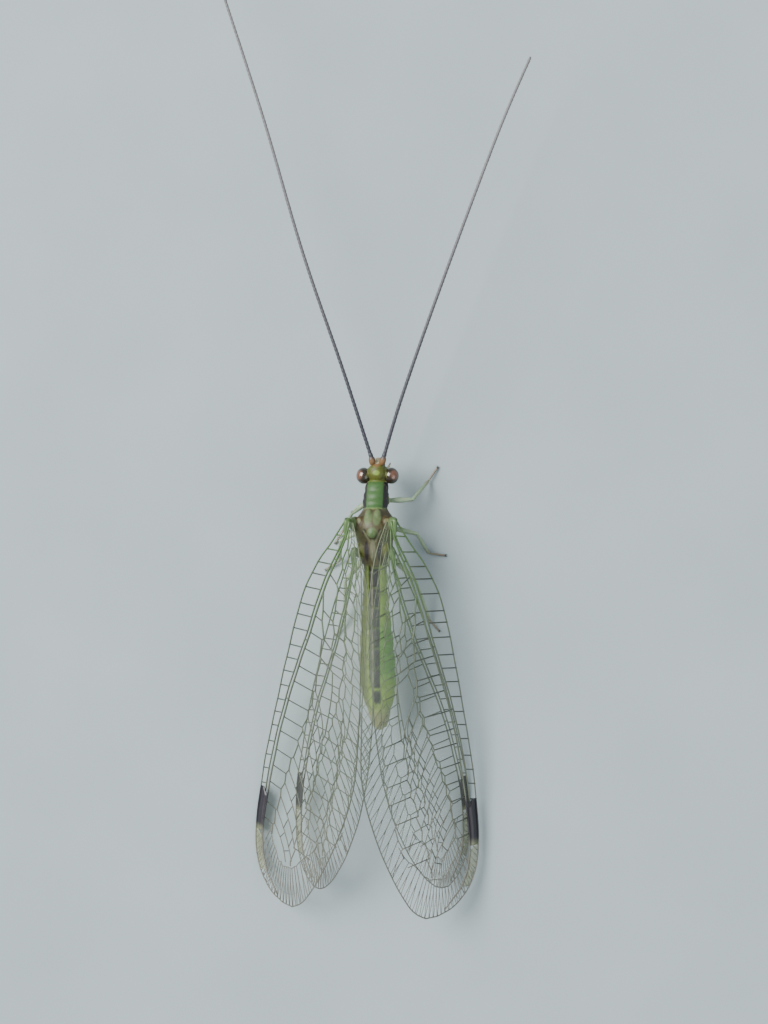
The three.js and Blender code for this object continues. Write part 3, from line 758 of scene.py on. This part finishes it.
# Wings: four clear films with a faint green tint and a glassy, slightly iridescent gloss, held
# as a low roof, each on the middle of its packed plate.
RIDGE_HEIGHT = 5.0
ROOF = {"left": (1, math.radians(36), 0.012), "right": (-1, math.radians(38), 0.04)}
WING_CAMBER, WING_RIPPLE = 0.012, 0.02
FORE = {
    "length": 18.75, "root": (-0.2, 1.4), "layer": 0.0, "vein_size": 1.0, "seed": 11,
    "stem": ((0.94, -0.08, 3.7), (1.06, -0.14, 4.0)),
    "costal": [(0, 0.12), (1, 0.7), (2.2, 1.5), (3.6, 2.13), (5.5, 2.55), (8, 2.87), (11, 3.2),
               (13.5, 3.35), (15.3, 3.3), (16.6, 3.1), (17.5, 2.65), (18.1, 2.05), (18.5, 1.4),
               (18.75, 0.5)],
    "hind": [(0, 0.45), (1.2, 1.05), (2.6, 1.5), (4.5, 1.9), (7, 2.3), (9.5, 2.65), (11.8, 2.84),
             (13.6, 2.62), (15.4, 2.12), (17, 1.48), (18, 0.95), (18.45, 0.55), (18.75, 0.05)],
}
HIND = {
    "length": 16.3, "root": (1.17, 1.75), "layer": -0.8, "vein_size": 0.9, "seed": 12,
    "stem": ((0.66, 1.28, 2.98), (0.84, 1.25, 3.18)),
    "costal": [(0, 0.15), (1, 0.45), (3, 1.0), (6, 1.62), (9, 2.02), (12, 2.18), (14, 1.88),
               (15.2, 1.4), (15.9, 0.85), (16.3, 0.25)],
    "hind": [(0, 0.4), (2, 1.3), (4, 1.9), (7, 2.3), (10, 2.42), (12, 2.25), (14, 1.75),
             (15.4, 1.1), (16.1, 0.5), (16.3, 0.1)],
}
WINGS = {
    "forewing_left": ("left", FORE, math.radians(11.6)),
    "forewing_right": ("right", FORE, math.radians(5.0)),
    "hindwing_left": ("left", HIND, math.radians(8.6)),
    "hindwing_right": ("right", HIND, math.radians(9.7)),
}
FILM_COLUMNS, FILM_ROWS, TIP_CROWDING = 40, 150, 1.6
FILM_TINT, FILM_ALPHA = (0.42, 0.5, 0.38), 0.06
FILM_NANOMETRES = 420.0


def read_off(table, at):
    """A smooth curve through [distance, value] rows, read off at any distances."""
    xs, ys = np.array(table, dtype=float).T
    at = np.clip(np.asarray(at, dtype=float), xs[0], xs[-1])
    k = np.clip(np.searchsorted(xs, at, side="right") - 1, 0, len(xs) - 2)
    before, after = np.maximum(k - 1, 0), np.minimum(k + 2, len(xs) - 1)
    span = xs[k + 1] - xs[k]
    w = (at - xs[k]) / span
    slope0 = (ys[k + 1] - ys[before]) / (xs[k + 1] - xs[before]) * span
    slope1 = (ys[after] - ys[k]) / (xs[after] - xs[k]) * span
    return ((2 * w**3 - 3 * w * w + 1) * ys[k] + (w**3 - 2 * w * w + w) * slope0
            + (3 * w * w - 2 * w**3) * ys[k + 1] + (w**3 - w * w) * slope1)


def on_wing(wing, u, v, lift=0.0):
    """A spot on a wing, u along it and v across it towards the costal edge, in millimetres."""
    side, shape, yaw = wing
    sign, tilt, droop = ROOF[side]
    u, v = np.asarray(u, dtype=float), np.asarray(v, dtype=float)
    p = shape["root"][0] + u * math.cos(yaw) - v * math.sin(yaw)
    q = shape["root"][1] + u * math.sin(yaw) + v * math.cos(yaw)
    rise = shape["layer"] + lift - WING_CAMBER * v * v
    rise = rise + WING_RIPPLE * np.sin(2.1 * u + 1.3 * v) * np.sin(1.7 * v + 0.4 * u)
    return np.stack([sign * (q * math.cos(tilt) + rise * math.sin(tilt)), p,
                     RIDGE_HEIGHT - droop * p - q * math.sin(tilt) + rise * math.cos(tilt)], -1)


film, _, _, shader = new_material("wing_film", 0.16)
shader.inputs["Base Color"].default_value = (*FILM_TINT, 1)
shader.inputs["Alpha"].default_value = FILM_ALPHA
shader.inputs["Coat Weight"].default_value = 1.0
shader.inputs["Thin Film Thickness"].default_value = FILM_NANOMETRES
shader.inputs["Thin Film IOR"].default_value = 1.55
for name, wing in WINGS.items():
    shape = wing[1]
    ease = np.linspace(0, 1, FILM_ROWS)
    u = shape["length"] * (1 - (1 - ease) ** TIP_CROWDING)
    costal, hind = read_off(shape["costal"], u), read_off(shape["hind"], u)
    across = np.linspace(0, 1, FILM_COLUMNS)
    v = costal[:, None] - across[None, :] * (costal + hind)[:, None]
    points = on_wing(wing, np.broadcast_to(u[:, None], v.shape), v).reshape(-1, 3)
    corners = [r * FILM_COLUMNS + c for r in range(FILM_ROWS - 1) for c in range(FILM_COLUMNS - 1)]
    faces = [(k, k + 1, k + FILM_COLUMNS + 1, k + FILM_COLUMNS) for k in corners]
    mesh = bpy.data.meshes.new("film")
    mesh.from_pydata(place(points).tolist(), [], faces)
    membrane = finish_piece(f"film_{name}", mesh, film)
    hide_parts(name)

# Veins: raised round ribs on the film, bright green and thick at the wing base and grey towards
# the tip. Long veins run down the wing, bent where cross veins meet them, with a ladder of near
# square cells at the costal edge, long cells behind it and a fringe of forks all round the tip.
VEIN_GREEN = (0.06, 0.114, 0.034)
VEIN_GREY = (0.075, 0.093, 0.06)
VEIN_TIP = (0.13, 0.125, 0.1)
VEIN_PALE = (0.085, 0.105, 0.055)
CROSS_DARK = (0.04, 0.047, 0.036)
# Long veins: share of the width from the costal edge at shares of the length, thickness, zigzag
LONG_VEINS = {
    "subcosta": ([(0, 0.46), (0.09, 0.33), (0.19, 0.275), (0.29, 0.225), (0.375, 0.168), (0.46, 0.118),
                  (0.54, 0.09), (0.64, 0.075), (0.74, 0.07)], 0.04, 0.0),
    "radius": ([(0, 0.53), (0.09, 0.4), (0.19, 0.33), (0.29, 0.268), (0.375, 0.206), (0.46, 0.156),
                (0.54, 0.125), (0.64, 0.112), (0.74, 0.105), (0.85, 0.105), (0.94, 0.14),
                (0.985, 0.22)], 0.046, 0.0),
    "sector": ([(0.19, 0.33), (0.24, 0.38), (0.29, 0.45), (0.36, 0.46), (0.43, 0.45), (0.5, 0.41),
                (0.56, 0.365), (0.62, 0.32), (0.68, 0.28), (0.76, 0.245), (0.84, 0.235)], 0.036, 0.06),
    "media": ([(0.02, 0.58), (0.17, 0.55), (0.29, 0.59), (0.35, 0.615), (0.42, 0.645), (0.55, 0.62),
               (0.62, 0.605), (0.8, 0.57), (0.9, 0.56)], 0.034, 0.07),
    "cubitus": ([(0.02, 0.7), (0.125, 0.68), (0.22, 0.745), (0.32, 0.78), (0.39, 0.805), (0.5, 0.8),
                 (0.6, 0.8), (0.75, 0.79), (0.84, 0.8)], 0.03, 0.06),
    "anal": ([(0, 0.86), (0.1, 0.88), (0.2, 0.92), (0.33, 0.97)], 0.022, 0.03),
}
# Rows of cross veins: upper vein, lower vein, first, last, step and slant, as shares of length
CROSS_ROWS = [
    ("costa", "subcosta", 0.045, 0.735, 0.0375, -0.004),
    ("subcosta", "radius", 0.1, 0.7, 0.2, 0.0),
    ("radius", "sector", 0.255, 0.84, 0.046, 0.008),
    ("radius", "media", 0.085, 0.19, 0.055, 0.02),
    ("sector", "media", 0.24, 0.42, 0.06, 0.02),
    ("media", "cubitus", 0.07, 0.85, 0.052, 0.012),
    ("cubitus", "anal", 0.05, 0.3, 0.06, 0.01),
]
# Kinds of vein: half thickness, and how dark from 0 to 1
KINDS = {
    "branch": (0.026, 0.35), "step": (0.027, 0.8), "costal cross": (0.03, 1.0), "cross": (0.03, 0.6),
    "base twig": (0.016, 0.2), "margin stem": (0.024, 0.4), "margin fork": (0.02, 0.4),
    "tip ring": (0.022, 0.3), "tip stem": (0.022, 0.4), "tip fork": (0.019, 0.35),
    "tip comb": (0.019, 0.3), "edge": (0.036, 0.35),
}
LONG_DARK = 0.2
# Branches of the sector: first, last and step of their starts, how far on each reaches the media,
# where the ring of the tip cuts them short, and the two stepped rows that join them
BRANCH_FIRST, BRANCH_LAST, BRANCH_STEP, BRANCH_RUN = 0.44, 0.83, 0.037, 0.115
BRANCH_END, BRANCH_BOW = 0.895, 0.16
STEP_ROWS = ((0.34, 0.42), (0.7, 0.78))
# Twigs from the cubitus to the hind margin: first, last, where they thicken, steps before and after
TWIG_FIRST, TWIG_LAST, TWIG_TURN, TWIG_STEPS = 0.04, 0.83, 0.25, (0.06, 0.03)
FORKS_FROM, FORK_SPREAD, TIP_SPREAD = 0.45, 8, 5
# The ring of the tip: where it starts, how far out it bows, how many knots it has, and the shares of
# the width that it spans
RING_START, RING_BOW, RING_KNOTS = 0.81, 0.1, 23
RING_EDGE, RING_SPAN = 0.18, 0.64
# The comb of single veins from the radius to the tip: first, last and step
COMB_FIRST, COMB_LAST, COMB_STEP = 0.78, 0.97, 0.016
# Headings in degrees at the start of a fringe, and how they turn along it
TWIG_HEADING, TWIG_TURNING = 64, -42
FAN_HEADING, FAN_TURNING = -26, 70
COMB_HEADING, COMB_TURNING, COMB_FROM = -42, 30, 0.8
COSTAL_INSET, HIND_INSET = 0.035, 0.03
# Pigment spots: where each starts, where it turns pale and where the pale stretch ends, along the wing
SPOTS = {"forewing_left": (13.7, 15.8, 17.6), "forewing_right": (13.5, 15.7, 17.6),
         "hindwing_left": (11.1, 12.9, 14.9), "hindwing_right": (11.3, 12.9, 15.0)}
SPOT_BLACK = (0.012, 0.01, 0.015)
VEIN_BRISTLE, BRISTLE_LEAN, BRISTLE_STEP, BRISTLE_THICK = 0.13, 0.45, 0.42, 0.006
# Wing stem: shares of its length from the thorax, and the radius at each
STEM_SHARES, STEM_RADII = (0, 0.4, 0.7, 1), (0.17, 0.14, 0.11, 0.05)


def share_of(vein, s):
    """How far across the wing a long vein lies at a share of its length."""
    if vein == "costa":
        return np.zeros_like(np.asarray(s, dtype=float))
    return read_off(LONG_VEINS[vein][0], s)


def across_at(shape, s, share):
    """The place across the wing, from the costal edge at share 0 to the hind edge at 1."""
    u = shape["length"] * np.asarray(s, dtype=float)
    costal, hind = read_off(shape["costal"], u), read_off(shape["hind"], u)
    return costal - share * (costal + hind)


def inside(shape, u, v):
    """Whether a place lies within the wing's edges."""
    if not 0 < u < shape["length"]:
        return False
    return -read_off(shape["hind"], u) < v < read_off(shape["costal"], u)


def to_margin(shape, u, v, heading, step=0.04):
    """Where a line from (u, v) with a heading in degrees meets the wing's edge."""
    du, dv = step * math.cos(math.radians(heading)), -step * math.sin(math.radians(heading))
    for _ in range(200):
        if not inside(shape, u + du, v + dv):
            return u, v
        u, v = u + du, v + dv
    return u, v


def knots_of(vein, bends):
    """Where a long vein turns: at its cross veins when it zigzags, or else at even steps."""
    table, _, zigzag = LONG_VEINS[vein]
    start, end = table[0][0], table[-1][0]
    turns = [s for s in bends if start < s < end]
    if zigzag:
        return sorted({start, end, *turns})
    return sorted({start, end, *turns, *np.linspace(start, end, 24)[1:-1].tolist()})


def venation(shape, rng):
    """Every vein of a wing as ([(u, v), ...], thickness, how dark)."""
    length = shape["length"]
    bends = {vein: {} for vein in LONG_VEINS}
    crossings = []
    for upper, lower, first, last, step, slant in CROSS_ROWS:
        for s in np.arange(first, last, step):
            top = s + rng.uniform(-0.12, 0.12) * step
            crossings.append((upper, top, lower, top + slant))
    twigs = []
    s = TWIG_FIRST
    while s < TWIG_LAST:
        twigs.append(s)
        s += TWIG_STEPS[0] if s < TWIG_TURN else TWIG_STEPS[1]
    for upper, top, lower, bottom in crossings:
        if upper in bends:
            bends[upper][top] = 1.0
        bends[lower][bottom] = -1.0
    for s in twigs:
        bends["cubitus"][s] = 1.0

    def spot(vein, s):
        """A place on a long vein, pushed aside where a cross vein meets it."""
        v = across_at(shape, s, share_of(vein, s))
        if vein in bends and s in bends[vein]:
            v = v - bends[vein][s] * LONG_VEINS[vein][2]
        return (length * s, float(v))

    branches = []
    for s in np.arange(BRANCH_FIRST, BRANCH_LAST, BRANCH_STEP):
        end = min(s + BRANCH_RUN, BRANCH_END)
        cut = (s + BRANCH_RUN - end) / BRANCH_RUN
        share = float(share_of("media", end)) * (1 - cut) + float(share_of("sector", s)) * cut
        bends["sector"][s] = 1.0
        if not cut:
            bends["media"][end] = -1.0
        branches.append((spot("sector", s), (length * end, float(across_at(shape, end, share)))))

    def partway(branch, t):
        """A spot on a bowed branch, at a share of the way along it."""
        start, end = branch
        bow = BRANCH_BOW * math.sin(math.pi * t)
        return (start[0] + (end[0] - start[0]) * t, start[1] + (end[1] - start[1]) * t - bow)

    veins = []

    def forked(u, v, heading, share, spread, stem, fork):
        """A stem towards the margin that splits in two before it gets there."""
        reach_u, reach_v = to_margin(shape, u, v, heading)
        split = (u + share * (reach_u - u), v + share * (reach_v - v))
        veins.append(([(u, v), split], *KINDS[stem]))
        for bend in (-spread, spread):
            veins.append(([split, to_margin(shape, *split, heading + bend)], *KINDS[fork]))

    for branch in branches:
        veins.append(([partway(branch, t) for t in (0, 0.2, 0.4, 0.6, 0.8, 1)], *KINDS["branch"]))
    for before, after in zip(branches, branches[1:]):
        for low, high in STEP_ROWS:
            veins.append(([partway(before, high), partway(after, low)], *KINDS["step"]))
    for vein, (_, thick, _) in LONG_VEINS.items():
        veins.append(([spot(vein, s) for s in knots_of(vein, bends[vein])], thick, LONG_DARK))
    for upper, top, lower, bottom in crossings:
        kind = "costal cross" if upper in ("costa", "radius") else "cross"
        veins.append(([spot(upper, top), spot(lower, bottom)], *KINDS[kind]))
    for s in twigs:
        u, v = spot("cubitus", s)
        heading = TWIG_HEADING + TWIG_TURNING * s
        if s < FORKS_FROM:
            veins.append(([(u, v), to_margin(shape, u, v, heading)], *KINDS["base twig"]))
        else:
            forked(u, v, heading, 0.45, FORK_SPREAD, "margin stem", "margin fork")
    arc = np.linspace(0.0, 1.0, RING_KNOTS)
    ring = []
    for t in arc:
        s = RING_START + RING_BOW * math.sin(math.pi * t) ** 0.8
        v = float(across_at(shape, s, RING_EDGE + RING_SPAN * t))
        ring.append((length * s + rng.uniform(-0.08, 0.08), v))
    veins.append((ring, *KINDS["tip ring"]))
    for t, (u, v) in zip(arc[1:-1], ring[1:-1]):
        forked(u, v, FAN_HEADING + FAN_TURNING * t, 0.35, TIP_SPREAD, "tip stem", "tip fork")
    for s in np.arange(COMB_FIRST, COMB_LAST, COMB_STEP):
        u, v = spot("radius", s)
        heading = COMB_HEADING + COMB_TURNING * (s - COMB_FROM)
        veins.append(([(u, v), to_margin(shape, u, v, heading)], *KINDS["tip comb"]))
    edge = 1 - (1 - np.linspace(0.0, 1.0, 90)) ** TIP_CROWDING
    u = (length - HIND_INSET) * edge
    around = list(zip(u, read_off(shape["costal"], u) - COSTAL_INSET))
    around += list(zip(u[::-1], -read_off(shape["hind"], u[::-1]) + HIND_INSET))
    veins.append((around, *KINDS["edge"]))
    return veins


def rib(wing, stained, line, thick, dark):
    """A vein as a closed tube with its tint, black where it crosses the spot, and its path."""
    side, shape, _ = wing
    line = np.array(line)
    fine = np.linspace(0, len(line) - 1, max(3, 3 * len(line) - 2))
    u = np.interp(fine, np.arange(len(line)), line[:, 0])
    v = np.interp(fine, np.arange(len(line)), line[:, 1])
    s = u / shape["length"]
    sign, tilt, _ = ROOF[side]
    costal, hind = read_off(shape["costal"], u), read_off(shape["hind"], u)
    fold = soft_step((costal - v) / np.maximum(costal + hind, 0.05), 0.55, 0.75) * soft_step(s, 0.6, 0.35)
    radii = thick * (1.2 - 0.35 * s) * shape["vein_size"] * (1 - 0.35 * fold)
    path = on_wing(wing, u, v)
    tint = np.tile(np.array(VEIN_GREY), (len(u), 1))
    blend_in(tint, soft_step(s, 0.4, 0.08), VEIN_GREEN)
    blend_in(tint, soft_step(s, 0.6, 0.95), VEIN_TIP)
    blend_in(tint, fold * 0.8, VEIN_PALE)
    blend_in(tint, np.full(len(u), dark) * soft_step(s, 0.03, 0.15), CROSS_DARK)
    in_spot = soft_step(u, stained[0] - 0.1, stained[0] + 0.1) * soft_step(u, stained[1], stained[1] - 0.4)
    inner = across_at(shape, s, share_of("radius", s))
    blend_in(tint, in_spot * soft_step(v, inner - 0.12, inner - 0.04), SPOT_BLACK)
    return tube(path, radii, 6, (sign * math.sin(tilt), 0, math.cos(tilt))), np.repeat(tint, 6, axis=0), path


vein_shell, nodes, links, shader = new_material("vein_cuticle", 0.42)
use_group(nodes, links, TINT_GROUP, shader.inputs["Base Color"], Cells=6000.0, Amount=0.3)
for name, wing in WINGS.items():
    side, shape, _ = wing
    sign, tilt, _ = ROOF[side]
    rng = np.random.default_rng(shape["seed"])
    parts, tints = [], []
    for line, thick, dark in venation(shape, rng):
        piece, tint, path = rib(wing, SPOTS[name], line, thick, dark)
        parts.append(piece)
        tints.append(tint)
        hairs = evenly(path, BRISTLE_STEP)[1:-1]
        for spot, angle in zip(hairs, rng.uniform(-0.7, 0.7, len(hairs))):
            out = np.array([sign * math.sin(tilt + angle), BRISTLE_LEAN, math.cos(tilt + angle)])
            parts.append(spike(spot, spot + out * VEIN_BRISTLE, BRISTLE_THICK))
            tints.append(np.tile(np.array(CROSS_DARK), (4, 1)))
    route = [[sign * x, y, z] for x, y, z in shape["stem"]]
    stem = evenly([*route, on_wing(wing, 0.0, 0.0), on_wing(wing, 0.7, -0.05)], 0.04)
    swell = np.interp(np.linspace(0, 1, len(stem)), STEM_SHARES, STEM_RADII)
    parts.append(tube(stem, swell, 12, (0.2, 0.9, 0.3)))
    tints.append(np.tile(np.array(VEIN_GREEN), (12 * len(stem), 1)))
    points, faces = heap(parts)
    ribs = finish_piece(f"veins_{name}", build_mesh(points, faces, np.concatenate(tints)), vein_shell)
    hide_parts(name)

# Wing spots: the black pigment spot near the tip of each costal edge, between the edge and the
# radius, followed by a pale yellow-green stretch. They are thickened film, darkest in the middle.
SPOT_PALE = (0.2, 0.22, 0.12)
SPOT_FILM = 0.022
SPOT_ALPHA, STREAK_ALPHA = 0.96, 0.42
SPOT_INSET, SPOT_OVERLAP = 0.03, 0.02
# Corners of a spot's section: share of the way from edge to radius, and height in film thicknesses
SPOT_SECTION = ((0, 0.5), (0.5, 1), (1, 0.5), (1, -0.5), (0.5, -1), (0, -0.5))
spot_film, nodes, links, shader = new_material("pigment_spot", 0.4)
shader.inputs["Alpha"].default_value = SPOT_ALPHA
use_group(nodes, links, TINT_GROUP, shader.inputs["Base Color"], Cells=5000.0, Amount=0.4)
pale_film, nodes, links, shader = new_material("pale_streak", 0.4)
shader.inputs["Alpha"].default_value = STREAK_ALPHA
use_group(nodes, links, TINT_GROUP, shader.inputs["Base Color"], Cells=5000.0, Amount=0.3)


def stretch(wing, low, high):
    """A thin closed patch between the costal edge and the radius, and how far along it each point is."""
    shape = wing[1]
    u = np.linspace(low, high, 50)
    along = (u - low) / (high - low)
    outer = read_off(shape["costal"], u) - SPOT_INSET
    inner = across_at(shape, u / shape["length"], share_of("radius", u / shape["length"]))
    inner = outer + (inner - outer) * (0.45 + 0.55 * soft_step(along, 0, 0.2))
    rows = [on_wing(wing, u, outer + (inner - outer) * k, lift * SPOT_FILM) for k, lift in SPOT_SECTION]
    return (*stitch(np.stack(rows, 1)), np.repeat(along, len(SPOT_SECTION)))


for name, (start, turn_pale, end) in SPOTS.items():
    points, faces, along = stretch(WINGS[name], start, turn_pale)
    tint = np.tile(np.array(SPOT_BLACK), (len(points), 1))
    blend_in(tint, soft_step(along, 0.82, 1.0) * 0.6, SPOT_PALE)
    finish_piece(f"pigment_spot_{name}", build_mesh(points, faces, tint), spot_film)
    points, faces, along = stretch(WINGS[name], turn_pale - SPOT_OVERLAP, end)
    tint = np.tile(np.array(SPOT_PALE), (len(points), 1))
    finish_piece(f"pale_streak_{name}", build_mesh(points, faces, tint), pale_film)
